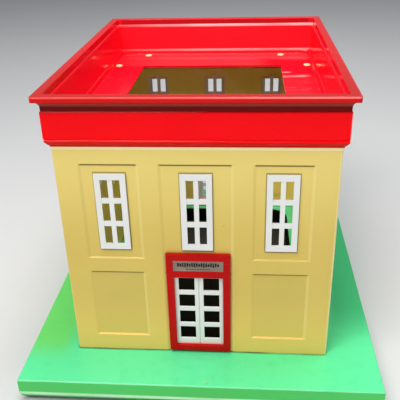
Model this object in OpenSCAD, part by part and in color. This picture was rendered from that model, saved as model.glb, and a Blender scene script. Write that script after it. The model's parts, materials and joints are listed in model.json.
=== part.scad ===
// House-shaped money box: a flat base board with a screwed bottom cover, four
// panelled walls, push-in windows and doors, and an open roof tray that lifts
// straight off eight round pegs. Origin: centre of the underside, front to -Y.

/* [House] */
// Width of the house across its front wall
house_w = 160; // [150:1:176]
// Depth of the house from front wall to back wall
house_d = 208.8; // [204:0.4:220]
// Height of the walls above the base board
wall_h = 141.8; // [140:0.2:160]
// Thickness of a wall
wall_t = 2.4; // [2:0.1:3]
// How far the panels are pressed in from the outer face
relief = 0.8; // [0.5:0.1:1]

/* [Base board] */
// Thickness of the base board
base_t = 17.8; // [14:0.2:24]
// Width of the board that shows all round the house
base_margin = 31.4; // [20:0.2:40]
// Rounding of the lower edges of the board
base_round = 8.6; // [2:0.1:10]
// Width of the ledge inside each side wall, beside the hole in the board
side_ledge = 12.6; // [12:0.2:20]
// Width of the ledge inside the front and back walls
end_ledge = 5.6; // [5.4:0.2:12]
// Corner radius of the hole in the board
hole_round = 15; // [10:1:20]
// Thickness of the bottom cover
cover_t = 2.4; // [2:0.1:3]

/* [Windows] */
// Width of a window's outer flange
window_w = 18.2; // [16:0.1:22]
// Height of a window's outer flange
window_h = 48.8; // [44:0.1:54]
// Height of a window's lower edge above the base board
window_z = 76.6; // [76.5:0.1:80]
// Distance between neighbouring windows
window_pitch = 48.8; // [46:0.2:50]
// Width of the upright bar between the panes
window_bar = 2.8; // [2.6:0.1:3.6]

/* [Door] */
// Outer width of the door frame
door_w = 38.6; // [36:0.2:39]
// Outer height of the door frame
door_h = 71.8; // [70.2:0.1:72.7]
// Width of the clear opening in the door frame
door_open_w = 29.6; // [28:0.2:31]
// Height of the clear opening in the door frame
door_open_h = 51.7; // [50.6:0.1:52.6]

/* [Roof] */
// Height of the roof tray from its underside to its rim
roof_h = 30; // [28:0.5:36]
// How far the rim stands out beyond the walls
rim_out = 6.5; // [5:0.1:8]
// How far the broad band below the rim stands out beyond the walls
band_out = 2.7; // [2:0.1:3.5]
// Thickness of the tray's floor
tray_floor = 1.4; // [1.2:0.1:2]
// Width of the opening in the tray's floor
roof_open_w = 107.6; // [90:0.4:110]
// Length of the opening in the tray's floor
roof_open_d = 129; // [110:1:130]
// Diameter of the pegs that locate the roof
peg_d = 5.4; // [4:0.1:6]

/* [Hidden] */

eps = 0.01;              // makes cutting tools pass through a face
fit = 0.1;               // clearance between a push-in piece and its hole
sand = "#D8C466";
red = "#E0101A";
frame_red = "#C40A12";
white = "#EDEDF0";
green = "#46C864";
dark = "#23211F";
steel = "#A8A6A2";

half_w = house_w / 2;
half_d = house_d / 2;
side_l = house_d - 2 * wall_t;                  // side walls stand between front and back
front_slots = [-1, 0, 1] * window_pitch;        // window centres across the front
side_slots = [-1.5, -0.5, 0.5, 1.5] * window_pitch;
end_tabs = [-1, 1] * window_pitch;              // tab places along the front and back wall
side_tabs = [-1.5, 1.5] * window_pitch;

// Panels of the walls, measured from the base board up
panel_w = 32.6;
panel_gap = 0.4;                                // outer panels sit this much further out
lower_panel = [12.3, 60.4];
upper_panel = [70.1, 131.4];
panel_side = 2;                                 // width of a panel's sloping sides
panel_foot = 0.9;                               // height of its sloping foot
door_bay_w = door_w + 2 * fit + panel_side;     // the tall middle recess behind the door
corner_round = 1.2;
wall_rib = [1.6, 5];                            // width and depth of the ribs in the corners
wall_rib_z = [3, 125];

// Base board and bottom cover
board = [house_w + 2 * base_margin, house_d + 2 * base_margin];
board_top_round = 0.9;
hole = [house_w - 2 * (wall_t + side_ledge), house_d - 2 * (wall_t + end_ledge)];
cover_lap = 5;                                  // the cover laps this far under the ledge
cover_z = 0.4;                                  // the cover is set up into the board
lining_gap = 0.2;                               // clearance of the cover's upright rim in the hole
lining_drop = 1;                                // the rim ends this far below the board's top
cover_rib_t = 1.2;
cover_rib_up = 2;
cover_rib_l = 140;
cover_rib_pitch = 36;
screw_in = 4.9;                                 // screws stand in from the cover's corners
screw_d = 3;
screw_l = 8;
screw_head_d = 6;
screw_head_h = 1.5;
screw_slot = [3.2, 0.7, 1.6];
tab_l = 14;                                     // tabs under the walls
tab_deep = 5;
tab_t = 1.6;

// Windows: flange outside, plug through the wall, two snap tabs inside
flange_out = 0.5;                               // the flange stands out past the wall face
side_lap = 0.6;                                 // the flange laps this far over the wall
end_lap = 1.9;
window_side_bar = 3.4;
window_top_bar = 3.6;
window_foot_bar = 3.8;
muntin = 3.3;
face_t = 1;                                     // thickness of the flange and the bars
plug_wall = 0.9;                                // the plug is a thin-walled frame
tongue_w = 2.6;                                 // holds the lower snap tab
plug_past = 0.8;                                // the plug passes the inner face by this
snap_r = 2.2;
snap_rise = 2.7;
notch_drop = 0.25;
notch_hide = 0.6;

// Door
frame_out = 1.6;                                // the frame stands out past the wall face
frame_foot = 2;                                 // its lower edge, above the base board
sill_h = 6;
leaf_y = 0.5;                                   // front face of the white double door
leaf_t = 2.4;
leaf_lap = 1.5;                                 // the door laps behind the frame
leaf_stile = 2.4;
leaf_centre = 5.4;
leaf_face_t = 1;                                // bars of the door, inside its thicker border
pane_h = 9;
leaf_rail = 3.2;
leaf_foot = 4.5;
plate = [30.2, 7, 0.6];
plate_z = 62.4;
plate_deep = 0.8;
pin_d = 3;
pin_x = 12;

// Roof pegs: distance of a peg's axis from the wall's face and from the corner
peg_in = 5.9;
front_peg_x = 55.2;
side_peg_y = half_d - 39.5;
peg_up = 0.6;                                   // rises this far above the tray's floor
peg_hole_d = peg_d + 0.12;
boss_h = 8;

// Roof tray
rim_h = 3.4;                                    // height of the rim's upright face
rim_low = roof_h - rim_h;
rim_round = 0.8;
rim_corner = 2.5;                               // upright corners of the rim
rim_in = 0.8;                                   // the rim's inner face, outside the wall's face
ledge_in = 0.9;                                 // the lower ledge stands in this far
ledge_z = 5.6;
foot_in = 2.2;                                  // the lowest stretch stands in this far
foot_round = 1.2;
foot_corner = 11;

$fn = 48;

// Points of an arc of radius r about c, from angle a to angle b
function arc(c, r, a, b, n = 8) = [for (i = [0:n]) c + r * [cos(a + (b - a) * i / n),
                                                            sin(a + (b - a) * i / n)]];

// Points of a quarter oval that rises from an upright face to a level one, ending at c
function shoulder(c, w, h, n = 5) = [for (i = [0:n]) [c[0] - w * cos(90 * i / n),
                                                      c[1] - h + h * sin(90 * i / n)]];

module box(x, y, z) { translate([x[0], y[0], z[0]]) cube([x[1] - x[0], y[1] - y[0], z[1] - z[0]]); }

// Rectangle with round corners, exact arcs
module round_rect(w, l, r) {
    square([w - 2 * r, l], center = true);
    square([w, l - 2 * r], center = true);
    for (x = [-1, 1], y = [-1, 1]) translate([x * (w / 2 - r), y * (l / 2 - r)]) circle(r);
}

// A body whose outline in every level is a rectangle: w and l are its size where the
// profile [offset, height] has offset 0
module level_body(w, l, profile) {
    intersection() {
        extrude_across(w, 2 * l, profile);
        rotate(90) extrude_across(l, 2 * w, profile);
    }
}
module extrude_across(w, l, profile) {
    translate([0, l / 2, 0]) rotate([90, 0, 0]) linear_extrude(l) polygon(concat(
        [for (p = profile) [w / 2 + p[0], p[1]]],
        [for (i = [len(profile) - 1:-1:0]) [-w / 2 - profile[i][0], profile[i][1]]]));
}

// Places a wall or a piece of it: built with its outer face on y = 0 and its foot on z = 0
module on_front() { translate([0, -half_d, base_t]) children(); }
module on_back() { rotate(180) on_front() children(); }
module on_left() { translate([-half_w, 0, base_t]) rotate(-90) children(); }
module on_right() { rotate(180) on_left() children(); }

// ---------------------------------------------------------------- base

module base_board() color(green) {
    r = base_round;
    t = board_top_round;
    edge = concat(arc([-r, r], r, -90, 0), arc([-t, base_t - t], t, 0, 90, 3));
    difference() {
        level_body(board[0], board[1], edge);
        translate([0, 0, -eps]) linear_extrude(base_t + 1) round_rect(hole[0], hole[1], hole_round);
        translate([0, 0, -eps]) linear_extrude(cover_z + cover_t + eps) cover_outline(0.2);
        cover_screw_places() cylinder(d = screw_d + 2 * eps, h = cover_z + screw_l + 0.5);
        wall_places() tab_boxes(fit);
    }
}

module cover_outline(gap) round_rect(hole[0] + 2 * cover_lap + 2 * gap,
                                     hole[1] + 2 * cover_lap + 2 * gap, 4);

module cover_screw_places() {
    x = hole[0] / 2 + cover_lap - screw_in;
    y = hole[1] / 2 + cover_lap - screw_in;
    for (i = [-1, 1], j = [-1, 1]) translate([i * x, j * y, 0]) children();
}

module bottom_cover() color(dark) {
    lining = [hole[0] - 2 * lining_gap, hole[1] - 2 * lining_gap];
    difference() {
        union() {
            translate([0, 0, cover_z]) linear_extrude(cover_t) cover_outline(0);
            // upright rim that lines the hole in the board
            rim_z = cover_z + cover_t - eps;
            rim_r = hole_round - lining_gap;
            translate([0, 0, rim_z]) linear_extrude(base_t - lining_drop - rim_z) difference() {
                round_rect(lining[0], lining[1], rim_r);
                round_rect(lining[0] - 2 * cover_rib_t, lining[1] - 2 * cover_rib_t, rim_r - cover_rib_t);
            }
            // stiffening ribs on the inside
            for (x = [-1, 0, 1] * cover_rib_pitch)
                box([x - cover_rib_t / 2, x + cover_rib_t / 2], [-cover_rib_l / 2, cover_rib_l / 2],
                    [rim_z, cover_z + cover_t + cover_rib_up]);
        }
        cover_screw_places() countersink(0.1);
    }
}

module countersink(gap) {
    translate([0, 0, -eps]) cylinder(d = screw_d + 2 * gap, h = cover_z + cover_t + 1);
    translate([0, 0, -eps]) cylinder(d = screw_head_d + 2 * gap, h = cover_z + eps + gap / 2);
    translate([0, 0, cover_z + gap / 2])
        cylinder(d1 = screw_head_d + 2 * gap, d2 = screw_d + 2 * gap, h = screw_head_h);
}

module cover_screws() color(steel) cover_screw_places() difference() {
    union() {
        translate([0, 0, cover_z]) cylinder(d1 = screw_head_d, d2 = screw_d, h = screw_head_h);
        translate([0, 0, cover_z]) cylinder(d = screw_d, h = screw_l);
    }
    for (a = [0, 90]) rotate(a) translate([0, 0, cover_z]) cube(screw_slot, center = true);
}

// ---------------------------------------------------------------- walls

// Calls its children at the four walls, with the x places of the tabs in $tabs
module wall_places() {
    on_front() with_tabs(end_tabs) children();
    on_back() with_tabs(end_tabs) children();
    on_left() with_tabs(side_tabs) children();
    on_right() with_tabs(side_tabs) children();
}
module with_tabs(x) {
    $tabs = x;
    children();
}

module tab_boxes(gap) for (x = $tabs)
    box([x - tab_l / 2 - gap, x + tab_l / 2 + gap],
        [(wall_t - tab_t) / 2 - gap, (wall_t + tab_t) / 2 + gap],
        [-tab_deep - gap, eps]);

// One pressed panel: cuts the outer face when out is true, else fills behind it. Its sides
// and foot slope over side and foot
module panel(x, z, out, side, foot) {
    if (out) intersection() {
        translate([x[0] - side, 0, 0]) rotate([90, 0, 90]) linear_extrude(x[1] - x[0] + 2 * side) polygon(
            [[-1, z[0] - foot / 2], [0, z[0] - foot / 2], [relief, z[0] + foot / 2],
             [relief, z[1]], [-1, z[1]]]);
        translate([0, 0, z[0] - foot]) linear_extrude(z[1] - z[0] + 2 * foot + 1) polygon(
            [[x[0] - side / 2, -1], [x[0] - side / 2, 0], [x[0] + side / 2, relief],
             [x[1] - side / 2, relief], [x[1] + side / 2, 0], [x[1] + side / 2, -1]]);
    }
    else box(x, [wall_t - eps, wall_t + relief], z);
}

module column_panels(x, out) for (z = [lower_panel, upper_panel])
    panel([x - panel_w / 2, x + panel_w / 2], z, out, panel_side, panel_foot);

module window_hole() {
    w = window_w - 2 * side_lap;
    low = window_z + end_lap;
    high = window_z + window_h - end_lap;
    box([-w / 2, w / 2], [-1, wall_t + 2], [low, high]);
    // half-round clearances that let the snap tabs pass; the lower one shows as a notch
    for (z = [low - notch_drop, high - notch_hide]) translate([0, -1, z]) rotate([-90, 0, 0])
        cylinder(r = snap_r + fit, h = wall_t + 3);
}

// A boss behind the wall with a domed peg that stands up through the roof
module roof_peg() {
    r = peg_d / 2;
    dome = 0.7;
    top = wall_h + tray_floor + peg_up;
    intersection() {
        translate([0, 0, wall_h - boss_h]) linear_extrude(boss_h) peg_plan(r);
        // the boss's underside slopes back to the wall
        translate([-peg_d, 0, 0]) rotate([90, 0, 90]) linear_extrude(2 * peg_d) polygon(
            [[0, wall_h], [peg_in + peg_d, wall_h],
             [peg_in + peg_d, wall_h - 1], [0, wall_h - boss_h - 1]]);
    }
    translate([0, peg_in, wall_h - eps]) rotate_extrude() polygon(concat([[0, 0], [r, 0]],
        arc([r - dome, top - wall_h - dome], dome, 0, 90), [[0, top - wall_h + 0.1]]));
}
module peg_plan(r) {
    translate([0, peg_in]) circle(r);
    translate([-r, wall_t - eps]) square([2 * r, peg_in - wall_t + eps]);
}

// Front and back wall are one moulding
module end_wall() {
    bay = [-door_bay_w / 2, door_bay_w / 2];
    outer = window_pitch + panel_gap;
    difference() {
        union() {
            end_wall_plate();
            for (x = [-1, 1] * outer) column_panels(x, false);
            panel(bay, [0.6, upper_panel[1]], false, 0, 0);
        }
        for (x = [-1, 1] * outer) column_panels(x, true);
        panel(bay, [-1, upper_panel[1]], true, panel_side, 0);
        for (x = front_slots) translate([x, 0, 0]) window_hole();
        leaf_box(fit, [-2, wall_t + 3]);
        door_pin_places() cylinder(d = pin_d + 2 * fit, h = wall_t + 3);
    }
    for (x = [-1, 1] * front_peg_x) translate([x, 0, 0]) roof_peg();
    with_tabs(end_tabs) tab_boxes(0);
    // ribs that hold the side walls' ends
    for (s = [0, 1]) mirror([s, 0, 0])
        box([half_w - wall_t - fit - wall_rib[0], half_w - wall_t - fit],
            [wall_t - eps, wall_t + wall_rib[1]], wall_rib_z);
}

module end_wall_plate() linear_extrude(wall_h) {
    r = corner_round;
    translate([-half_w + r, 0]) square([house_w - 2 * r, wall_t]);
    translate([-half_w, r]) square([house_w, wall_t - r]);
    for (x = [-1, 1]) translate([x * (half_w - r), r]) circle(r);
}

module side_wall() {
    difference() {
        union() {
            box([-side_l / 2, side_l / 2], [0, wall_t], [0, wall_h]);
            for (x = side_slots) column_panels(x, false);
        }
        for (x = side_slots) {
            column_panels(x, true);
            translate([x, 0, 0]) window_hole();
        }
    }
    for (x = [-1, 1] * side_peg_y) translate([x, 0, 0]) roof_peg();
    with_tabs(side_tabs) tab_boxes(0);
}

module front_wall() color(sand) on_front() end_wall();
module back_wall() color(sand) on_back() end_wall();
module left_wall() color(sand) on_left() side_wall();
module right_wall() color(sand) on_right() side_wall();

// ---------------------------------------------------------------- windows

module window() color(white) {
    plug_w = window_w - 2 * side_lap - 2 * fit;
    plug_z = window_z + end_lap + fit;
    plug_h = window_h - 2 * end_lap - 2 * fit;
    inner = wall_t + relief;
    difference() {
        union() {
            box([-window_w / 2, window_w / 2], [-flange_out, relief], [window_z, window_z + window_h]);
            box([-plug_w / 2, plug_w / 2], [relief - eps, inner + plug_past], [plug_z, plug_z + plug_h]);
            for (z = [plug_z, plug_z + plug_h]) snap_tab(z, z == plug_z ? -1 : 1, inner + fit);
        }
        window_panes([-2, 9]);
        // the bars are set in from the flange
        w = window_w / 2 - window_side_bar;
        bars = [window_z + window_foot_bar, window_z + window_h - window_top_bar];
        box([-w, w], [-2, -flange_out + 0.25], bars);
        window_back(plug_w / 2 - plug_wall, plug_z, plug_z + plug_h - plug_wall);
    }
}

// Hollows the plug from behind, down to its foot; a tongue stays for the lower snap tab
module window_back(w, low, high) difference() {
    box([-w, w], [face_t - flange_out, 9], [low - eps, high]);
    box([-tongue_w / 2, tongue_w / 2], [0, 9], [low - 1, low + plug_wall]);
}

module snap_tab(z, side, y) {
    rise = (snap_rise - snap_r) * side;
    translate([0, y, z + rise]) rotate([-90, 0, 0]) cylinder(r = snap_r, h = plug_past - fit);
}

module window_panes(y) {
    pane_w = (window_w - window_bar - 2 * window_side_bar) / 2;
    low = window_z + window_foot_bar;
    pane_z = (window_h - window_top_bar - window_foot_bar - 2 * muntin) / 3;
    for (s = [0, 1], i = [0:2]) mirror([s, 0, 0])
        box([window_bar / 2, window_bar / 2 + pane_w], y,
            [low + i * (pane_z + muntin), low + i * (pane_z + muntin) + pane_z]);
}

// ---------------------------------------------------------------- doors

// The block of space that the white double door fills
module leaf_box(gap, y) {
    w = door_open_w / 2 + leaf_lap + gap;
    box([-w, w], y, [sill_h - leaf_lap - gap, sill_h + door_open_h + leaf_lap + gap]);
}

module door_pin_places() for (x = [-1, 1] * pin_x) translate([x, relief - eps, plate_z + plate[1] / 2])
    rotate([-90, 0, 0]) children();

module door_frame() color(frame_red) {
    difference() {
        box([-door_w / 2, door_w / 2], [-frame_out, relief],
            [frame_foot, frame_foot + door_h]);
        box([-door_open_w / 2, door_open_w / 2], [-9, 9], [sill_h, sill_h + door_open_h]);
        leaf_box(fit, [leaf_y, 9]);
        box([-plate[0] / 2 - fit, plate[0] / 2 + fit], [-9, -frame_out + plate_deep],
            [plate_z - fit, plate_z + plate[1] + fit]);
    }
    door_pin_places() cylinder(d = pin_d, h = wall_t + 0.8);
}

module name_plate() color(steel) {
    y = -frame_out + plate_deep;
    border = 0.5;
    difference() {
        box([-plate[0] / 2, plate[0] / 2], [y - plate[2], y], [plate_z, plate_z + plate[1]]);
        // an engraved line all round, inside the edge
        difference() {
            plate_inset(border, y);
            plate_inset(2 * border, y);
        }
    }
}
module plate_inset(in, y) box([-plate[0] / 2 + in, plate[0] / 2 - in],
                              [y - plate[2] - 1, y - plate[2] + 0.15],
                              [plate_z + in, plate_z + plate[1] - in]);

module double_door() color(white) {
    pane_w = (door_open_w - 2 * leaf_stile - leaf_centre) / 2;
    groove = 0.5;
    border_in = 0.4;
    difference() {
        leaf_box(0, [leaf_y, leaf_y + leaf_t]);
        for (s = [0, 1], i = [0:3]) mirror([s, 0, 0]) {
            z = sill_h + leaf_foot + i * (pane_h + leaf_rail);
            box([leaf_centre / 2, leaf_centre / 2 + pane_w], [-9, 9], [z, z + pane_h]);
        }
        // thin bars inside the thicker border
        w = door_open_w / 2 - border_in;
        box([-w, w], [leaf_y + leaf_face_t, 9], [sill_h + border_in, sill_h + door_open_h - border_in]);
        // the line where the two leaves would meet
        box([-groove / 2, groove / 2], [-9, leaf_y + groove], [0, sill_h + door_open_h + 9]);
    }
}

// ---------------------------------------------------------------- roof

// Outer outline of the tray: [offset beyond the walls, height above the underside].
// Foot, hollow underside, bead, groove, broad band, recess, cove, rim
recess = 0.5;
groove = 0.35;
cove_r = rim_out - rim_round - band_out + recess;
roof_outer = concat(
    [[0.3, 0], [0.3, 0.7], [1.1, 1.4], [band_out - 0.5, 3], [band_out, 3.7], [band_out, 4.2]],
    [[band_out - groove, 4.6], [band_out - groove, 4.9], [band_out, 5.3]],
    [[band_out, roof_h - 9.8], [band_out - 0.1, roof_h - 9.4], [band_out - recess, roof_h - 9]],
    arc([rim_out - rim_round, rim_low - cove_r], cove_r, 180, 96, 8),
    arc([rim_out - rim_round, rim_low + rim_round], rim_round, -90, 0, 4),
    arc([rim_out - rim_round, roof_h - rim_round], rim_round, 0, 90, 4));

// Inner outline above the lower ledge, with the upper ledge under the rim
roof_inner = concat(
    [[-ledge_in, ledge_z], [-ledge_in, ledge_z + 0.4], [rim_in - 1.1, roof_h - 6.5]],
    shoulder([rim_in, roof_h - 4.3], 1.1, 2.2),
    [[rim_in + 0.1, roof_h - 0.3], [rim_in + 0.4, roof_h], [rim_in + 0.4, roof_h + 1]]);

// Inner outline from the tray's floor to the lower ledge, round at the corners
roof_foot = concat(
    arc([-foot_in - foot_round, tray_floor + foot_round], foot_round, -90, 0, 5),
    shoulder([-ledge_in, ledge_z], foot_in - ledge_in, 1.7),
    [[-ledge_in, ledge_z + eps]]);

// A body like level_body, with upright corners of radius r where the offset is 0
module round_level_body(w, l, r, profile) {
    last = len(profile) - 1;
    extrude_across(w, l - 2 * r, profile);
    rotate(90) extrude_across(l, w - 2 * r, profile);
    for (x = [-1, 1], y = [-1, 1]) translate([x * (w / 2 - r), y * (l / 2 - r), 0])
        rotate_extrude() polygon(concat(
            [[0, profile[0][1]]],
            [for (p = profile) [r + p[0], p[1]]],
            [[0, profile[last][1]]]));
}

module roof_outside() intersection() {
    level_body(house_w, house_d, roof_outer);
    linear_extrude(roof_h) round_rect(house_w + 2 * rim_out, house_d + 2 * rim_out, rim_corner);
}

module roof_tray() color(red) translate([0, 0, base_t + wall_h]) difference() {
    roof_outside();
    level_body(house_w, house_d, roof_inner);
    round_level_body(house_w, house_d, foot_corner, roof_foot);
    translate([0, 0, -1]) linear_extrude(9) round_rect(roof_open_w, roof_open_d, 2);
    for (x = [-1, 1] * front_peg_x, y = [-1, 1] * (half_d - peg_in)) peg_hole(x, y);
    for (x = [-1, 1] * (half_w - peg_in), y = [-1, 1] * side_peg_y) peg_hole(x, y);
}

module peg_hole(x, y) translate([x, y, -1]) cylinder(d = peg_hole_d, h = 9);

// ---------------------------------------------------------------- nodes
// Windows are numbered from the left as each wall is seen from outside

base_board();
bottom_cover();
cover_screws();
front_wall();
back_wall();
left_wall();
right_wall();
roof_tray();
on_front() door_frame();  // front_door_frame
on_front() name_plate();  // front_name_plate
on_front() double_door();  // front_double_door
on_back() door_frame();  // back_door_frame
on_back() name_plate();  // back_name_plate
on_back() double_door();  // back_double_door
on_front() translate([front_slots[0], 0, 0]) window();  // front_window_1
on_front() translate([front_slots[1], 0, 0]) window();  // front_window_2
on_front() translate([front_slots[2], 0, 0]) window();  // front_window_3
on_back() translate([front_slots[0], 0, 0]) window();  // back_window_1
on_back() translate([front_slots[1], 0, 0]) window();  // back_window_2
on_back() translate([front_slots[2], 0, 0]) window();  // back_window_3
on_left() translate([side_slots[0], 0, 0]) window();  // left_window_1
on_left() translate([side_slots[1], 0, 0]) window();  // left_window_2
on_left() translate([side_slots[2], 0, 0]) window();  // left_window_3
on_left() translate([side_slots[3], 0, 0]) window();  // left_window_4
on_right() translate([side_slots[0], 0, 0]) window();  // right_window_1
on_right() translate([side_slots[1], 0, 0]) window();  // right_window_2
on_right() translate([side_slots[2], 0, 0]) window();  // right_window_3
on_right() translate([side_slots[3], 0, 0]) window();  // right_window_4
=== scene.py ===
"""Looks of the house-shaped money box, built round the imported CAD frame.

Sections: measures, camera, node graphs, plastics, the marks of each plastic part, other
materials, softened edges, name plate relief, stage and lights, assembly of the looks.
Everything is in metres in the row frame: x to the right, y to the back, z up.
"""

import json
import math

import bmesh
import bpy
from mathutils import Matrix, Vector


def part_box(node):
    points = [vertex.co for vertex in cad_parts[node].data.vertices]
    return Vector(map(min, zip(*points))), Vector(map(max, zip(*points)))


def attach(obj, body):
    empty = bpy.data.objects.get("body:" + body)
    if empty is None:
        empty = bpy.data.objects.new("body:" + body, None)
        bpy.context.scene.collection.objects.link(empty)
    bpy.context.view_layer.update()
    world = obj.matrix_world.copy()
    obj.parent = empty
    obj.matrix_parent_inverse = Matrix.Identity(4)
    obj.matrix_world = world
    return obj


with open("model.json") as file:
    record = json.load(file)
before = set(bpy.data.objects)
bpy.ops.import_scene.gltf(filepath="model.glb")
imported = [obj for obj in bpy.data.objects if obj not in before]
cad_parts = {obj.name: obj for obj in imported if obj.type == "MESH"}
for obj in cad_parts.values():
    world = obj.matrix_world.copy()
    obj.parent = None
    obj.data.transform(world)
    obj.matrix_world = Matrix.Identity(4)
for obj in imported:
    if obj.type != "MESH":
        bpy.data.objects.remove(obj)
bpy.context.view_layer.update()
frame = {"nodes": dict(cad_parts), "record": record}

# ------------------------------------------------------------------ measures

MM = 0.001
NODES = frame["nodes"]
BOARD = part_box("base_board")[1]           # the base board's back right upper corner
WALL_LOW, WALL_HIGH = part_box("front_wall")
ROOF_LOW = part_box("roof_tray")[0]
HALF_W = WALL_HIGH.x                      # middle of the house to a side wall's outer face
HALF_D = -WALL_LOW.y                      # and to the front or back wall's outer face
WINDOW_LOW, WINDOW_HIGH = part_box("front_window_2")
WINDOW_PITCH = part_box("front_window_3")[0].x - WINDOW_LOW.x
MID_WALL = (1.1 * MM, 1.4 * MM)           # deeper than this, a wall's faces are inner ones
PANEL_HEADS = (60.4 * MM, 131.4 * MM)     # upper ends of the pressed-in panels, above the board
TRAY_FLOOR = ROOF_LOW.z + 1.4 * MM        # upper face of the tray's floor
BACK_FROM = 98 * MM                       # the back wall and the tray's back lie behind this

# ------------------------------------------------------------------ camera

CAMERA_AT = Vector((0.0285, -0.4116, 0.2829))
CAMERA_TILT_DOWN = 26.75                  # angles in degrees
CAMERA_PAN_LEFT = 4.90
CAMERA_ROLL = -1.57
CAMERA_LENS = 54.9                        # lens and sensor in millimetres
CAMERA_SENSOR = 36


def make_camera():
    data = bpy.data.cameras.new("camera")
    data.lens = CAMERA_LENS
    data.sensor_width = CAMERA_SENSOR
    data.clip_start = 0.01
    camera = bpy.data.objects.new("camera", data)
    bpy.context.scene.collection.objects.link(camera)
    turn = (Matrix.Rotation(math.radians(CAMERA_PAN_LEFT), 4, "Z")
            @ Matrix.Rotation(math.radians(90 - CAMERA_TILT_DOWN), 4, "X")
            @ Matrix.Rotation(math.radians(CAMERA_ROLL), 4, "Z"))
    camera.matrix_world = Matrix.Translation(CAMERA_AT) @ turn
    bpy.context.scene.camera = camera


# ------------------------------------------------------------------ node graphs

class Graph:
    """A material's node tree, with short calls for the nodes that the materials share."""

    def __init__(self, name):
        self.material = bpy.data.materials.new(name)
        self.material.use_nodes = True
        self.tree = self.material.node_tree
        self.shader = self.tree.nodes["Principled BSDF"]
        self.place = self.node("ShaderNodeTexCoord").outputs["Object"]
        self.x, self.y, self.z = self.node("ShaderNodeSeparateXYZ", Vector=self.place).outputs

    def node(self, kind, settings=None, **inputs):
        """Adds a node; an input that is a socket is linked, any other is set."""
        made = self.tree.nodes.new(kind)
        for key, value in (settings or {}).items():
            setattr(made, key, value)
        for key, value in inputs.items():
            self.put(made.inputs[key], value)
        return made

    def put(self, socket, value):
        """Links value to socket if it is a socket too, or else sets it there."""
        if isinstance(value, bpy.types.NodeSocket):
            self.tree.links.new(value, socket)
        else:
            socket.default_value = value

    def surface(self, **inputs):
        """Sets the shader's inputs; an underscore in a name stands for a blank."""
        for key, value in inputs.items():
            self.put(self.shader.inputs[key.replace("_", " ")], value)
        return self.material

    def noise(self, scale, detail=4, roughness=0.5, stretch=(1, 1, 1), seed=0.0, warp=0.0):
        """Noise from 0 to 1; scale is in features a metre."""
        place = self.node("ShaderNodeMapping", Vector=self.place, Scale=stretch,
                          Location=(seed, 2 * seed, 3 * seed)).outputs[0]
        made = self.node("ShaderNodeTexNoise", Vector=place, Scale=scale, Detail=detail,
                         Roughness=roughness, Distortion=warp)
        return made.outputs["Fac"]

    def step(self, value, low, high, to=(0.0, 1.0)):
        """value mapped from low..high to to[0]..to[1], smoothly and clamped."""
        made = self.node("ShaderNodeMapRange", {"interpolation_type": "SMOOTHSTEP"}, Value=value)
        for key, number in (("From Min", low), ("From Max", high), ("To Min", to[0]), ("To Max", to[1])):
            made.inputs[key].default_value = number
        return made.outputs["Result"]

    def math(self, operation, a, b=0.0):
        made = self.node("ShaderNodeMath", {"operation": operation})
        self.put(made.inputs[0], a)
        self.put(made.inputs[1], b)
        return made.outputs[0]

    def mix(self, share, a, b):
        """Colour a turned into colour b by share."""
        made = self.node("ShaderNodeMix", {"data_type": "RGBA"})
        self.put(made.inputs[0], share)
        self.put(made.inputs[6], a if isinstance(a, bpy.types.NodeSocket) else (*a, 1))
        self.put(made.inputs[7], b if isinstance(b, bpy.types.NodeSocket) else (*b, 1))
        return made.outputs[2]

    def bump(self, height, distance, strength=1.0, below=None):
        made = self.node("ShaderNodeBump", Height=height, Distance=distance, Strength=strength)
        if below is not None:
            self.put(made.inputs["Normal"], below)
        return made.outputs["Normal"]

    def cavity(self, distance):
        """1 in corners and recesses, 0 on open faces."""
        made = self.node("ShaderNodeAmbientOcclusion", {"samples": 6}, Distance=distance)
        return self.math("SUBTRACT", 1.0, made.outputs["AO"])

    def scratches(self, scale, seed, angle):
        """Sparse fine hairlines, running about one way."""
        turned = self.node("ShaderNodeMapping", Vector=self.place, Rotation=(0.3, 0.2, angle),
                           Location=(seed, seed, seed), Scale=(1, 22, 22)).outputs[0]
        lines = self.node("ShaderNodeTexNoise", Vector=turned, Scale=scale, Detail=2, Distortion=0.6)
        return self.step(lines.outputs["Fac"], 0.68, 0.73)

    def band(self, value, low, high, soft):
        """1 between low and high, fading to 0 over soft on both sides."""
        return self.all_of(self.step(value, low - soft, low), self.step(value, high, high + soft, (1, 0)))

    def heights(self, low, high, soft, above=0.0):
        """A band of heights in millimetres, above a height in metres."""
        return self.band(self.z, above + low * MM, above + high * MM, soft * MM)

    def near(self, centre, radius):
        """1 round centre, fading to 0 at radius."""
        made = self.node("ShaderNodeVectorMath", {"operation": "DISTANCE"})
        self.put(made.inputs[0], self.place)
        self.put(made.inputs[1], centre)
        return self.step(made.outputs["Value"], 0.3 * radius, radius, (1, 0))

    def outward(self):
        """How far a place is outside the walls' outer faces: along x, along y, and the larger."""
        out_x = self.math("SUBTRACT", self.math("ABSOLUTE", self.x), HALF_W)
        out_y = self.math("SUBTRACT", self.math("ABSOLUTE", self.y), HALF_D)
        return out_x, out_y, self.any_of(out_x, out_y)

    def all_of(self, *shares):
        """The product of the shares."""
        share = shares[0]
        for other in shares[1:]:
            share = self.math("MULTIPLY", share, other)
        return share

    def any_of(self, *shares):
        """The largest of the shares."""
        share = shares[0]
        for other in shares[1:]:
            share = self.math("MAXIMUM", share, other)
        return share

    def over(self, base, colour, *shares):
        """Colour laid over base by the product of the shares."""
        return self.mix(self.all_of(*shares), base, colour)


# ------------------------------------------------------------------ plastics

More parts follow.
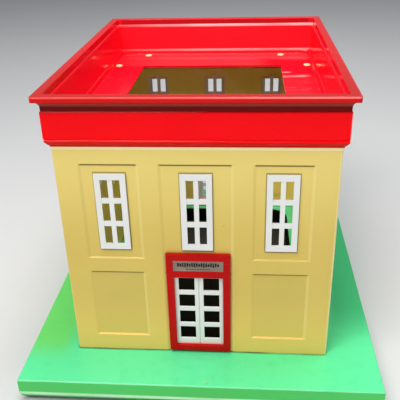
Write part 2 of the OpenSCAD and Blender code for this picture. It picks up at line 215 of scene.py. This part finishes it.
def plastic(name, colour, shade, gloss, specular=0.5, dirt_and_shade=(0.2, 0.15, 0.1), dirt_and_shade_share=0.3,
            scuff=(0.9, 0.8, 0.75), crease_shade_share=0.12, marks_and_light=None):
    """Moulded plastic: faint flow marks, grime and painted shade in the corners, painted shade in tight
    creases, hairlines, and marks and painted light of its own.
    """
    g = Graph(name)
    flow = g.noise(14, 3, 0.55, warp=0.8)
    cloud = g.noise(60, 4, 0.6, seed=3.1)
    base = g.mix(g.step(flow, 0.3, 0.7), colour, shade)
    base = g.over(base, shade, g.step(cloud, 0.45, 0.75), 0.3)
    hairlines = g.any_of(g.scratches(150, 1.7, 0.5), g.scratches(190, 5.3, 2.1))
    scuffs = g.all_of(hairlines, g.step(g.noise(22, 3, 0.5, seed=7.7), 0.52, 0.68))
    base = g.over(base, scuff, scuffs, 0.05)
    # Painted shade: a darker, grimy tone in corners and recesses, partly real grime.
    corner_dirt_and_shade = g.all_of(g.step(g.cavity(5 * MM), 0.45, 0.95), g.step(g.noise(180, 3, 0.6), 0.3, 0.7))
    base = g.over(base, dirt_and_shade, corner_dirt_and_shade, dirt_and_shade_share)
    # Painted shade: a dark line in tight creases and gaps.
    line = g.step(g.cavity(1.8 * MM), 0.22, 0.42)
    base = g.over(base, dirt_and_shade, line, crease_shade_share)
    rough = g.step(g.noise(90, 4, 0.6, seed=9.2), 0.25, 0.8, (gloss, gloss + 0.07))
    rough = g.math("ADD", rough, g.all_of(scuffs, 0.15))
    rough = g.math("ADD", rough, g.all_of(corner_dirt_and_shade, 0.2))
    g.surface(Specular_IOR_Level=specular)
    if marks_and_light:
        base, rough = marks_and_light(g, base, rough)
    fine = g.bump(g.noise(900, 2, 0.5), 0.02 * MM, 0.2)
    wave = g.bump(g.noise(70, 2, 0.4, seed=2.2), 0.2 * MM, 0.2, fine)
    return g.surface(Base_Color=base, Roughness=rough, Normal=wave)


# ------------------------------------------------------------------ marks of the walls

# Painted light: the walls' insides paler as if lit.
LIT_INNER_SAND = (1.0, 0.92, 0.18)
GLEAM_SAND = (1.0, 1.0, 0.60)
# Painted light: lighter towards the top, and bounce light at the foot.
LIT_UPPER_SAND = (0.90, 0.72, 0.22)
BOUNCE_LIT_SAND = (0.95, 0.60, 0.152)
# Painted highlights on the front wall's right corner and along the walls' top edge.
HIGHLIGHT_SAND = (1.0, 0.90, 0.55)
LIT_SLOPE = (1.0, 0.85, 0.40)
DIM_SLOPE = (0.42, 0.29, 0.06)
# Painted shade on the lower panels, painted shadows under the panels' heads and round the windows.
SHADED_SUNK_SAND = (0.50, 0.38, 0.085)
PANEL_HEAD_SHADOW = (0.21, 0.13, 0.006)
WINDOW_GAP_SHADOW = (0.17, 0.12, 0.03)
# Painted light on the peg tops, and painted shadow along the walls' foot.
LIT_PEG_TOP = (1.0, 0.66, 0.38)
FOOT_SHADOW = (0.10, 0.12, 0.03)
DARK_MARK = (0.30, 0.20, 0.06)


def wall_tints(g, base):
    """Insides painted paler as if lit, with a painted gleam on the back one; painted light makes the wall
    lighter at the top and warmer at the foot.
    """
    shallow, deep = MID_WALL
    inner = g.all_of(g.step(g.math("ABSOLUTE", g.x), HALF_W - deep, HALF_W - shallow, (1, 0)),
                     g.step(g.math("ABSOLUTE", g.y), HALF_D - deep, HALF_D - shallow, (1, 0)))
    # Painted light: the inner faces paler as if lit.
    base = g.over(base, LIT_INNER_SAND, inner, 0.95)
    lean = g.math("ADD", g.x, g.all_of(g.z, 0.9))
    gleam = g.any_of(g.band(lean, 117 * MM, 121 * MM, 4 * MM), g.band(lean, 135 * MM, 138 * MM, 4 * MM))
    at_back = g.math("GREATER_THAN", g.y, BACK_FROM)
    base = g.over(base, GLEAM_SAND, inner, gleam, at_back, g.step(g.z, 110 * MM, 135 * MM), 0.4)
    # Painted light: lighter towards the top and from bounce light at the foot.
    base = g.over(base, LIT_UPPER_SAND, g.step(g.z, ROOF_LOW.z - 70 * MM, ROOF_LOW.z, (0, 0.65)))
    return g.over(base, BOUNCE_LIT_SAND, g.step(g.z, BOARD.z, BOARD.z + 50 * MM, (0.8, 0)))


def window_gap_shadow(g, depth):
    """The share of the painted shadow in the gap round every window, on the walls' outer side."""
    front_or_back = g.math("GREATER_THAN", g.math("ABSOLUTE", g.y), HALF_D - 1.3 * MM)
    from_front_window = g.math("PINGPONG", g.x, WINDOW_PITCH / 2)
    from_side_window = g.math("SUBTRACT", WINDOW_PITCH / 2, g.math("PINGPONG", g.y, WINDOW_PITCH / 2))
    aside = g.math("ADD", g.all_of(front_or_back, from_front_window),
                   g.all_of(g.math("SUBTRACT", 1.0, front_or_back), from_side_window))
    aside = g.math("SUBTRACT", aside, WINDOW_HIGH.x)
    middle = (WINDOW_LOW.z + WINDOW_HIGH.z) / 2 - 0.3 * MM
    from_middle = g.math("ABSOLUTE", g.math("SUBTRACT", g.z, middle))
    above = g.math("SUBTRACT", from_middle, (WINDOW_HIGH.z - WINDOW_LOW.z) / 2)
    gap = g.step(g.any_of(aside, above), 0.35 * MM, 0.8 * MM, (0.65, 0))
    return g.all_of(gap, g.step(depth, -1.3 * MM, -1.1 * MM))


def panel_marks(g, base):
    """Painted shadows under the panels' heads and round the windows, painted shade on the lower panels,
    painted light and shade on the sloped sides.
    """
    depth = g.outward()[2]
    # Painted shadow under the panels' heads.
    heads = g.any_of(*(g.heights(-1.1, 0, 0.2, BOARD.z + head) for head in PANEL_HEADS))
    base = g.over(base, PANEL_HEAD_SHADOW, g.band(depth, -1.1 * MM, -0.55 * MM, 0.1 * MM), heads, 0.88)
    base = g.over(base, WINDOW_GAP_SHADOW, window_gap_shadow(g, depth))
    # Painted shade on the lower panels' sunk faces.
    lower_panels = g.step(g.z, BOARD.z + 60 * MM, BOARD.z + 61 * MM, (0.22, 0))
    base = g.over(base, SHADED_SUNK_SAND, g.band(depth, -1.1 * MM, -0.75 * MM, 0.05 * MM), lower_panels)
    normal = g.node("ShaderNodeNewGeometry").outputs["True Normal"]
    slope = g.node("ShaderNodeSeparateXYZ", Vector=normal).outputs[0]
    cheek = g.band(depth, -0.7 * MM, -0.1 * MM, 0.05 * MM)
    base = g.over(base, DIM_SLOPE, g.band(slope, 0.2, 0.6, 0.1), cheek, 0.16)
    return g.over(base, LIT_SLOPE, g.band(slope, -0.6, -0.2, 0.1), cheek, 0.20)


def wall_wear_and_light(g, base, rough):
    """Tints and panel marks, painted highlights on the right edge, the top and the peg tops, painted
    shadow at the foot, one dark mark.
    """
    base = panel_marks(g, wall_tints(g, base))
    top = ROOF_LOW.z
    # Painted highlights down the right corner, along the top edge and on the peg tops.
    right_edge_highlight = g.step(g.x, HALF_W - 1.3 * MM, HALF_W - 0.7 * MM)
    base = g.over(base, HIGHLIGHT_SAND, right_edge_highlight, g.math("LESS_THAN", g.y, WALL_LOW.y + 1.4 * MM), 0.6)
    base = g.over(base, HIGHLIGHT_SAND, g.heights(-1.6, 0, 0.3, top), 0.7)
    base = g.over(base, LIT_PEG_TOP, g.step(g.z, top + 1.2 * MM, top + 1.4 * MM), 0.85)
    # Painted shadow along the walls' foot.
    uneven = g.step(g.noise(22, 3, 0.5, seed=3.7), 0.35, 0.6, (0.3, 0.85))
    base = g.over(base, FOOT_SHADOW, g.heights(0, 0.5, 0.5, BOARD.z), uneven)
    mark = g.near((15.4 * MM, WALL_LOW.y, BOARD.z + 92.5 * MM), 1.3 * MM)
    return g.over(base, DARK_MARK, mark, 0.5), rough


# ------------------------------------------------------------------ marks of the roof tray

BOWL_REDS = ((0.97, 0.003, 0.011), (0.86, 0.006, 0.024))
# Painted shade: the recess under the rim, the rim's front face, the crown, the throat and the brink;
# painted reflection in the cove; painted highlights on the verge and the corner.
RECESS_SHADOW = (0.09, 0.001, 0.001)
COVE_REFLECTION = (0.24, 0.045, 0.03)
SHADED_RIM_FACE = (0.42, 0.010, 0.010)
SHADED_CROWN = (0.33, 0.025, 0.02)
VERGE_HIGHLIGHT = (1.0, 0.28, 0.27)
QUOIN_HIGHLIGHT = (1.0, 0.40, 0.38)
THROAT_SHADOW = (0.34, 0.0, 0.004)
BRINK_SHADE = (0.30, 0.004, 0.003)
HAZE_PINK = (0.95, 0.42, 0.40)
# Painted highlights on the ledges and the front lip, and painted reflections on the floor.
HIGHLIGHT_PINK = (1.0, 0.50, 0.48)
PATCH_PINK = (1.0, 0.45, 0.42)
FADED_RED = (0.60, 0.22, 0.26)
LIP_HIGHLIGHT = (1.0, 0.50, 0.45)


def tray_height(g, low, high, soft):
    """A band of heights in millimetres above the tray's lowest edge."""
    return g.heights(low, high, soft, ROOF_LOW.z)


def tray_above(g, low, high):
    """0 below low and 1 above high, both in millimetres over the tray's lowest edge."""
    return g.step(g.z, ROOF_LOW.z + low * MM, ROOF_LOW.z + high * MM)


def rim_bands(g, base):
    """Tones of the tray: its bright bowl, painted shade and a painted reflection in the bands outside up
    to the crown, painted highlights on the outer edges, and painted shade on the rim's inner face and the
    tray's foot.
    """
    out_x, out_y, out = g.outward()
    outside = g.step(out, 1.5 * MM, 1.9 * MM)
    within = g.step(out, 1.1 * MM, 1.5 * MM, (1, 0))
    bowl = g.any_of(g.step(out, -0.5 * MM, 0, (1, 0)), g.all_of(within, tray_above(g, 4, 5)))
    base = g.over(base, g.mix(g.noise(12, 3, 0.6, warp=0.6), *BOWL_REDS), bowl)
    # Painted shadow in the recess under the rim, a painted reflection in the cove, painted shade on the
    # rim's face and crown.
    base = g.over(base, RECESS_SHADOW, tray_height(g, 21.4, 23.2, 1.8), outside, 0.9)
    base = g.over(base, COVE_REFLECTION, tray_height(g, 24.2, 26.5, 1.0), outside, 0.8)
    base = g.over(base, SHADED_RIM_FACE, tray_height(g, 26.9, 28.9, 0.4), outside, 0.55)
    crown = tray_above(g, 29.7, 29.95)
    base = g.over(base, SHADED_CROWN, crown, g.step(g.y, ROOF_LOW.y, 0.0, (0.85, 0.55)))
    # Painted highlights on the side rims' outer edge and on the right corner.
    verge = g.band(out_x, 5.7 * MM, 6.5 * MM, 0.3 * MM)
    base = g.over(base, VERGE_HIGHLIGHT, verge, tray_above(g, 28.8, 29.2), 0.15)
    quoin = g.all_of(g.band(out_x, 2.4 * MM, 2.8 * MM, 0.1 * MM),
                     g.band(out_y, 1.4 * MM, 2.7 * MM, 0.3 * MM),
                     tray_height(g, 4, 20, 0.5), g.math("GREATER_THAN", g.x, 0.0))
    base = g.over(base, QUOIN_HIGHLIGHT, quoin, 0.6)
    # Painted shadow on the rim's inner face, and painted shade along the tray's foot.
    throat = g.all_of(tray_height(g, 26.0, 29.0, 0.5), within)
    base = g.over(base, THROAT_SHADOW, throat, g.step(out_x, -4 * MM, -1 * MM, (0.8, 0.3)))
    return g.over(base, BRINK_SHADE, tray_height(g, 0, 3.3, 0.4), g.step(out, 0, 0.2 * MM), 0.4)


def tray_floor_scuffs_and_reflections(g, base, rough):
    """A pale haze and painted reflected streaks on the tray's floor, and scuffed patches on its side
    walls.
    """
    inside = g.math("GREATER_THAN", g.z, TRAY_FLOOR - 0.2 * MM)
    floor = g.all_of(g.step(g.z, TRAY_FLOOR + 0.2 * MM, TRAY_FLOOR + 0.8 * MM, (1, 0)), inside)
    drift = g.math("ADD", g.y, g.all_of(g.math("SUBTRACT", g.noise(40, 3, 0.5), 0.5), 16 * MM))
    back = g.step(drift, 80 * MM, 86 * MM)
    left = g.all_of(g.step(drift, 62 * MM, 67 * MM), g.step(g.x, 30 * MM, 50 * MM, (1, 0)))
    haze = g.any_of(back, left)
    base = g.over(base, HAZE_PINK, haze, floor, g.step(g.x, -HALF_W, -30 * MM, (0.35, 1)), 0.06)
    # Painted reflection of the bright ledge, as streaks on the floor.
    slant = g.math("ADD", g.y, g.all_of(g.x, -0.12))
    streaks = g.any_of(
        g.all_of(g.band(slant, 23 * MM, 26 * MM, 3 * MM), g.band(g.x, 55 * MM, 68 * MM, 8 * MM)),
        g.all_of(g.band(slant, 35.5 * MM, 37 * MM, 2 * MM), g.band(g.x, 55 * MM, 58 * MM, 4 * MM)))
    broken = g.step(g.noise(90, 3, 0.6, stretch=(0.3, 1, 1)), 0.25, 0.6)
    base = g.over(base, HIGHLIGHT_PINK, streaks, floor, broken, 0.45)
    marks = g.any_of(g.scratches(55, 3.3, 1.1), g.scratches(70, 8.1, 2.4))
    right_patch = g.near((HALF_W, -12 * MM, ROOF_LOW.z + 14 * MM), 46 * MM)
    left_patch = g.near((-HALF_W, 30 * MM, ROOF_LOW.z + 11 * MM), 34 * MM)
    patch = g.all_of(g.any_of(right_patch, g.all_of(left_patch, 0.6)), marks, inside)
    base = g.over(base, PATCH_PINK, patch, 0.4)
    return base, g.math("ADD", rough, g.all_of(patch, 0.2))


def roof_wear_and_light(g, base, rough):
    """The tray's bands and scuffs, its faded back wall, and painted highlights on its ledges and front
    lip.
    """
    base, rough = tray_floor_scuffs_and_reflections(g, rim_bands(g, base), rough)
    behind = g.math("GREATER_THAN", g.y, BACK_FROM)
    cloudy = g.noise(30, 4, 0.6, stretch=(0.12, 1, 1))
    base = g.over(base, FADED_RED, behind, cloudy, g.math("GREATER_THAN", g.z, TRAY_FLOOR), 0.07)
    # Painted highlights along the ledges and on the front lip.
    uneven = g.step(g.noise(25, 3, 0.5, stretch=(1, 0.2, 0.2)), 0.2, 0.55, (0.6, 1))
    ledges = g.any_of(tray_height(g, 24.1, 25.8, 0.3), g.all_of(tray_height(g, 4.3, 5.7, 0.4), 0.5))
    base = g.over(base, HIGHLIGHT_PINK, ledges, behind, uneven, g.step(g.x, -78 * MM, -15 * MM, (0.1, 0.75)))
    lip = g.all_of(tray_height(g, 29.1, 29.8, 0.15), g.math("LESS_THAN", g.y, ROOF_LOW.y + 1 * MM))
    return g.over(base, LIP_HIGHLIGHT, lip, g.step(g.x, -60 * MM, 60 * MM, (0.35, 1)), uneven, 0.35), rough


# ------------------------------------------------------------------ marks of the doors and the cover

# Painted shadow under the door's lintel and painted red bounce light at its sill.
LINTEL_SHADOW = (0.26, 0.21, 0.16)
SILL_BOUNCE_RED = (1.0, 0.45, 0.40)
# Painted shade on the cover's front and its upright rim.
SHADED_BLACK = (0.004, 0.004, 0.003)


def trim_shadow_and_bounce(g, base, rough):
    """Painted shadow under the door's lintel and a faint painted red bounce light at its sill."""
    base = g.over(base, LINTEL_SHADOW, g.heights(56.4, 60, 0.5, BOARD.z), 0.8)
    return g.over(base, SILL_BOUNCE_RED, g.heights(4, 6.8, 0.8, BOARD.z), 0.5), rough


def cover_light_and_shade(g, base, rough):
    """Painted light on the cover's floor from the middle towards the back, with more specular there;
    painted shade in front and darkest on the upright rim.
    """
    # Painted light on the floor towards the back, painted shade elsewhere.
    lit_floor = g.all_of(g.step(g.y, 10 * MM, 50 * MM), g.step(g.z, 4 * MM, 6 * MM, (1, 0)))
    g.surface(Specular_IOR_Level=g.step(lit_floor, 0, 1, (0.03, 0.45)))
    return g.mix(lit_floor, SHADED_BLACK, base), rough


# ------------------------------------------------------------------ other materials

# Painted highlights on the rolled lower edge and the upper edge.
ROLLED_HIGHLIGHT = (0.62, 1.0, 0.66)
BOARD_SHADOW = (0.012, 0.10, 0.02)
EDGE_HIGHLIGHT_GREEN = (0.55, 1.0, 0.72)
# Painted bounce light off the left wall, and painted shade beside the right wall.
WALL_BOUNCE_GREEN = (0.145, 0.66, 0.14)
HOUSE_SHADE_GREEN = (0.055, 0.50, 0.19)
CLOUD_GREEN = (0.05, 0.50, 0.16)
BARE_WOOD = ((0.34, 0.26, 0.05), (0.50, 0.42, 0.14))
SPECK_GREY = (0.30, 0.42, 0.16)
# Painted shade where the walls meet the board.
FOOT_SHADE_GREEN = (0.02, 0.10, 0.02)


def board_sides(g, drift):
    """The board's upright sides: a painted highlight on the rolled edge, a painted shadow band and a
    painted highlight along the upper edge.
    """
    side = g.mix(g.step(drift, 0.3, 0.7), (0.070, 0.60, 0.12), (0.062, 0.55, 0.105))
    broken = g.step(g.noise(20, 3, 0.5, seed=7.1), 0.3, 0.6, (0.45, 0.85))
    # Painted highlight on the rolled edge.
    side = g.over(side, ROLLED_HIGHLIGHT, g.heights(6.6, 8.2, 0.9), broken)
    side = g.over(side, BOARD_SHADOW, g.heights(1.5, 4.6, 1.0), 0.8)
    # Painted highlight along the upper edge.
    edge = g.step(g.z, BOARD.z - 1.0 * MM, BOARD.z - 0.7 * MM)
    return g.over(side, EDGE_HIGHLIGHT_GREEN, edge, g.noise(60, 3, 0.5, seed=9.9))


def board_face(g, drift):
    """The board's upper face, yellower on the house's left side from painted bounce light and darker on
    its right from painted shade.
    """
    face = g.mix(g.step(drift, 0.3, 0.7), (0.115, 0.74, 0.345), (0.105, 0.73, 0.30))
    wander = g.all_of(g.math("SUBTRACT", g.noise(12, 2, 0.5, seed=5.1), 0.5), 24 * MM)
    along = g.math("ADD", g.y, wander)
    # Painted bounce light near the left wall, painted shade near the right one.
    left = g.all_of(g.step(g.x, -94 * MM, -78 * MM, (1, 0)), g.step(along, -120 * MM, -95 * MM))
    right = g.all_of(g.step(g.x, 78 * MM, 94 * MM), g.step(along, -95 * MM, -50 * MM))
    return g.over(g.over(face, WALL_BOUNCE_GREEN, left), HOUSE_SHADE_GREEN, right)


def board_chips(g):
    """Chips along the board's upper edges, and two scuffs near the front one."""
    edge_x = g.step(g.math("ABSOLUTE", g.x), BOARD.x - 5 * MM, BOARD.x)
    edge_y = g.step(g.math("ABSOLUTE", g.y), BOARD.y - 5 * MM, BOARD.y)
    rim = g.all_of(g.any_of(edge_x, edge_y), g.step(g.z, BOARD.z - 1.2 * MM, BOARD.z - 0.2 * MM))
    chips = g.step(g.noise(330, 4, 0.7, seed=4.4), 0.68, 0.71)
    chips = g.all_of(chips, g.step(g.noise(30, 2, 0.5, seed=8.8), 0.5, 0.62), rim)
    scuffs = g.any_of(g.near((5.8 * MM, -132.8 * MM, BOARD.z), 0.9 * MM),
                      g.near((8.9 * MM, -128.4 * MM, BOARD.z), 0.7 * MM))
    return g.any_of(chips, g.step(scuffs, 0.2, 0.5))


def painted_board():
    """Gloss paint on a board: roller texture, tone drift, chipped edges, dust specks; painted light on
    the upper face and painted shade where the walls meet it.
    """
    g = Graph("green_paint")
    drift = g.noise(7, 2, 0.5, warp=0.5)
    # Painted light: the upper face lighter and bluer than the sides.
    upper = g.step(g.z, BOARD.z - 0.8 * MM, BOARD.z - 0.2 * MM)
    base = g.mix(upper, board_sides(g, drift), board_face(g, drift))
    base = g.over(base, CLOUD_GREEN, g.step(g.noise(120, 5, 0.65, seed=1.1), 0.45, 0.8), 0.2)
    chips = board_chips(g)
    base = g.over(base, g.mix(g.noise(300, 3, 0.6, stretch=(0.1, 1, 1)), *BARE_WOOD), chips)
    specks = g.step(g.noise(900, 1, 0.5, seed=6.6), 0.78, 0.81)
    base = g.over(base, SPECK_GREY, specks, g.step(g.noise(18, 2, 0.5, seed=2.9), 0.5, 0.6), 0.3)
    # Painted shade in the corner where the walls meet the board.
    uneven = g.step(g.noise(25, 3, 0.5, seed=4.1), 0.35, 0.6, (0.35, 0.9))
    base = g.over(base, FOOT_SHADE_GREEN, g.step(g.cavity(2.0 * MM), 0.2, 0.4), uneven)
    rough = g.step(g.noise(80, 5, 0.65, seed=5.5), 0.3, 0.75, (0.14, 0.26))
    rough = g.math("ADD", rough, g.all_of(chips, 0.4))
    peel = g.bump(g.noise(320, 3, 0.55, seed=3.3), 0.04 * MM, 0.4)
    return g.surface(Base_Color=base, Roughness=rough, Normal=g.bump(chips, -0.12 * MM, 1.0, peel),
                     Specular_IOR_Level=0.4)


def brushed_plate():
    """Aluminium label, brushed along its length, with fine tarnish."""
    g = Graph("brushed_plate")
    grain = g.noise(2600, 3, 0.6, stretch=(0.02, 1, 1))
    tarnish = g.noise(160, 4, 0.6, seed=2.4)
    base = g.mix(g.step(grain, 0.3, 0.7), (0.22, 0.165, 0.135), (0.36, 0.28, 0.235))
    base = g.over(base, (0.16, 0.13, 0.10), g.step(tarnish, 0.5, 0.75), 0.4)
    return g.surface(Base_Color=base, Roughness=g.step(grain, 0.2, 0.8, (0.28, 0.46)),
                     Normal=g.bump(grain, 0.02 * MM, 0.4), Metallic=0.9, Anisotropic=0.5)


def enamel():
    """Black filled enamel of the plate's ornament."""
    g = Graph("black_enamel")
    worn = g.step(g.noise(900, 3, 0.6), 0.45, 0.75)
    return g.surface(Base_Color=g.mix(worn, (0.012, 0.012, 0.014), (0.05, 0.05, 0.05)),
                     Roughness=g.step(worn, 0, 1, (0.25, 0.5)), Specular_IOR_Level=0.1)


def zinc_screw():
    """Zinc-plated steel, cloudy, with a little dirt in the slot."""
    g = Graph("zinc_screw")
    cloud = g.noise(900, 4, 0.6)
    base = g.mix(g.step(cloud, 0.3, 0.7), (0.42, 0.42, 0.44), (0.6, 0.6, 0.58))
    base = g.over(base, (0.08, 0.07, 0.06), g.step(g.cavity(1.5 * MM), 0.4, 0.9))
    return g.surface(Base_Color=base, Roughness=g.step(cloud, 0.2, 0.8, (0.25, 0.42)),
                     Normal=g.bump(cloud, 0.02 * MM, 0.4), Metallic=1.0)


# ------------------------------------------------------------------ softened edges

SHADE_ANGLE = 42                          # sharper edges than this, in degrees, are shaded sharp
BEVEL_ANGLE = 35                          # and sharper ones than this are rounded


def smooth_by_angle():
    """Geometry nodes that shade smooth, except across edges sharper than SHADE_ANGLE."""
    group = bpy.data.node_groups.new("smooth_by_angle", "GeometryNodeTree")
    group.interface.new_socket("Geometry", in_out="INPUT", socket_type="NodeSocketGeometry")
    group.interface.new_socket("Geometry", in_out="OUTPUT", socket_type="NodeSocketGeometry")
    nodes, links = group.nodes, group.links
    start, end = nodes.new("NodeGroupInput"), nodes.new("NodeGroupOutput")
    strip = nodes.new("GeometryNodeRemoveAttribute")
    strip.inputs["Name"].default_value = "custom_normal"
    faces = nodes.new("GeometryNodeSetShadeSmooth")
    edges = nodes.new("GeometryNodeSetShadeSmooth")
    edges.domain = "EDGE"
    edges.inputs["Shade Smooth"].default_value = False
    angle = nodes.new("GeometryNodeInputMeshEdgeAngle")
    sharp = nodes.new("FunctionNodeCompare")
    sharp.operation = "GREATER_THAN"
    sharp.inputs[1].default_value = math.radians(SHADE_ANGLE)
    links.new(start.outputs[0], strip.inputs["Geometry"])
    links.new(strip.outputs[0], faces.inputs["Geometry"])
    links.new(faces.outputs[0], edges.inputs["Geometry"])
    links.new(angle.outputs["Unsigned Angle"], sharp.inputs[0])
    links.new(sharp.outputs[0], edges.inputs["Selection"])
    links.new(edges.outputs[0], end.inputs[0])
    return group


SMOOTH = smooth_by_angle()


def soften(thing, width):
    """Rounds a piece's hard edges by width, with modifiers only."""
    weld = thing.modifiers.new("weld", "WELD")
    weld.merge_threshold = 0.002 * MM
    flat = thing.modifiers.new("flat", "DECIMATE")
    flat.decimate_type = "DISSOLVE"
    flat.angle_limit = math.radians(0.3)
    bevel = thing.modifiers.new("bevel", "BEVEL")
    bevel.width = width
    bevel.segments = 3
    bevel.limit_method = "ANGLE"
    bevel.angle_limit = math.radians(BEVEL_ANGLE)
    bevel.use_clamp_overlap = True
    shade = thing.modifiers.new("smooth", "NODES")
    shade.node_group = SMOOTH
    normal = thing.modifiers.new("normal", "WEIGHTED_NORMAL")
    normal.keep_sharp = True
    normal.weight = 100


# ------------------------------------------------------------------ name plate relief

RELIEF_OUT = 0.08 * MM                    # the ornament stands out from the plate by this
RELIEF_SINK = 4 * RELIEF_OUT              # its face to its foot, which is sunk into the plate
SIGNS = 18                                # lozenges and bars in the frieze
FRIEZE_SHARE = 0.84                       # of the plate's width
SIGN_HALF_H = 1.5 * MM
LOZENGE_HALF_W = 0.75 * MM
BAR_HALF_W = 0.52 * MM
DASHES = 9
DASH_PITCH = 1.7 * MM
DASH_HALF = (0.5 * MM, 0.28 * MM)         # half the length and the height of a dash


def raise_sign(mesh, corners):
    """One raised flat sign with the given corners, x and z, on a plate whose face is y = 0."""
    face = [mesh.verts.new((x, -RELIEF_OUT, z)) for x, z in corners]
    foot = [mesh.verts.new((x, RELIEF_SINK - RELIEF_OUT, z)) for x, z in corners]
    mesh.faces.new(face)
    mesh.faces.new(foot[::-1])
    for i in range(4):
        mesh.faces.new((face[i], foot[i], foot[(i + 1) % 4], face[(i + 1) % 4]))


def lozenge(mesh, x, z, half_w, half_h):
    raise_sign(mesh, [(x - half_w, z), (x, z - half_h), (x + half_w, z), (x, z + half_h)])


def bar(mesh, x, half_w, low, high):
    raise_sign(mesh, [(x - half_w, low), (x + half_w, low), (x + half_w, high), (x - half_w, high)])


def plate_relief(side, material):
    """A frieze of lozenges and bars over a row of dashes, raised from the name plate."""
    low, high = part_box(side + "_name_plate")
    height = high.z - low.z
    mesh = bmesh.new()
    frieze_z = low.z + 0.62 * height
    pitch = FRIEZE_SHARE * (high.x - low.x) / SIGNS
    for i in range(SIGNS):
        x = (i - (SIGNS - 1) / 2) * pitch
        if i % 4 == 1:
            lozenge(mesh, x, frieze_z, LOZENGE_HALF_W, SIGN_HALF_H)
        else:
            reach = SIGN_HALF_H * (1.0 if i % 2 else 0.8)
            bar(mesh, x, BAR_HALF_W, frieze_z - reach, frieze_z + SIGN_HALF_H)
    dash_z = low.z + 0.2 * height
    half_l, half_h = DASH_HALF
    for i in range(DASHES):
        bar(mesh, (i - DASHES // 2) * DASH_PITCH, half_l, dash_z - half_h, dash_z + half_h)
    bmesh.ops.recalc_face_normals(mesh, faces=mesh.faces)
    data = bpy.data.meshes.new(side + "_plate_relief")
    mesh.to_mesh(data)
    mesh.free()
    piece = bpy.data.objects.new(side + "_plate_relief", data)
    bpy.context.scene.collection.objects.link(piece)
    if side == "front":
        data.transform(Matrix.Translation((0, low.y, 0)))
    else:
        data.transform(Matrix.Translation((0, high.y, 0)) @ Matrix.Rotation(math.pi, 4, "Z"))
    data.materials.append(material)
    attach(piece, "house")


# ------------------------------------------------------------------ stage and lights

LIGHT_AIM = Vector((0, 0, 0.08))


def make_stage():
    """A large pale floor."""
    mesh = bmesh.new()
    bmesh.ops.create_grid(mesh, x_segments=1, y_segments=1, size=4)
    data = bpy.data.meshes.new("floor")
    mesh.to_mesh(data)
    mesh.free()
    floor = bpy.data.objects.new("floor", data)
    bpy.context.scene.collection.objects.link(floor)
    g = Graph("floor_paper")
    tone = g.mix(g.noise(3, 2), (0.58, 0.58, 0.575), (0.62, 0.62, 0.61))
    data.materials.append(g.surface(Base_Color=tone, Roughness=0.8))


def area_light(name, place, size, watts, colour=(1, 1, 1)):
    """A rectangular light that faces the box."""
    data = bpy.data.lights.new(name, "AREA")
    data.shape = "RECTANGLE"
    data.size, data.size_y = size
    data.energy = watts
    data.color = colour
    light = bpy.data.objects.new(name, data)
    light.location = place
    light.rotation_euler = (LIGHT_AIM - Vector(place)).to_track_quat("-Z", "Y").to_euler()
    bpy.context.scene.collection.objects.link(light)


def make_lights():
    world = bpy.data.worlds.new("studio")
    world.use_nodes = True
    background = world.node_tree.nodes["Background"]
    background.inputs["Color"].default_value = (0.80, 0.88, 1.0, 1)
    background.inputs["Strength"].default_value = 0.22
    bpy.context.scene.world = world
    area_light("key", (-0.45, -0.80, 1.20), (0.7, 0.5), 11.5, (1, 0.98, 0.95))
    area_light("top", (0.05, -0.02, 1.30), (1.3, 0.6), 12)
    area_light("strip", (0.1, -0.15, 1.0), (0.9, 0.08), 2.5)
    area_light("fill", (0.6, -1.3, 0.35), (0.8, 0.6), 2.8, (0.95, 0.98, 1))


# ------------------------------------------------------------------ assembly of the looks

def paint(node, material):
    """Gives a CAD node its material."""
    thing = NODES[node]
    for slot in thing.material_slots:
        slot.material = material
    if not thing.material_slots:
        thing.data.materials.append(material)


make_camera()
make_stage()
make_lights()
bpy.context.scene.view_settings.view_transform = "Standard"

# The grime colours below also paint shade into corners and creases, strongly on the walls.
sand = plastic("sand_plastic", (0.70, 0.515, 0.119), (0.665, 0.485, 0.106), 0.38, 0.35,
               dirt_and_shade=(0.26, 0.17, 0.04), crease_shade_share=0.85, marks_and_light=wall_wear_and_light)
roof_red = plastic("roof_red_plastic", (0.98, 0.001, 0.005), (0.92, 0.001, 0.004), 0.10, 0.10,
                   dirt_and_shade=(0.10, 0.0, 0.0), dirt_and_shade_share=0.5, marks_and_light=roof_wear_and_light)
frame_red = plastic("frame_red_plastic", (0.52, 0.002, 0.002), (0.46, 0.002, 0.002), 0.26, 0.10,
                    dirt_and_shade=(0.1, 0.01, 0.01))
white = plastic("white_plastic", (0.80, 0.80, 0.78), (0.77, 0.765, 0.74), 0.30, 0.4,
                dirt_and_shade=(0.30, 0.24, 0.15), dirt_and_shade_share=0.45, crease_shade_share=0.2, marks_and_light=trim_shadow_and_bounce)
black = plastic("black_cover_plastic", (0.02, 0.02, 0.019), (0.028, 0.026, 0.024), 0.5,
                dirt_and_shade=(0.02, 0.018, 0.015), scuff=(0.2, 0.2, 0.2), marks_and_light=cover_light_and_shade)

# material slot: material, and the width in millimetres by which its edges are rounded
LOOKS = {"sand_wall": (sand, 0.22), "roof_red": (roof_red, 0.15), "frame_red": (frame_red, 0.25),
         "white_trim": (white, 0.25), "black_cover": (black, 0.2), "green_board": (painted_board(), 0.2),
         "steel_screw": (zinc_screw(), 0.1), "name_plate": (brushed_plate(), 0.05)}

for part in frame["record"]["subparts"]:
    look, edge = LOOKS[part["material_slot"]]
    paint(part["node"], look)
    soften(NODES[part["node"]], edge * MM)

black_enamel = enamel()
for side in ("front", "back"):
    plate_relief(side, black_enamel)
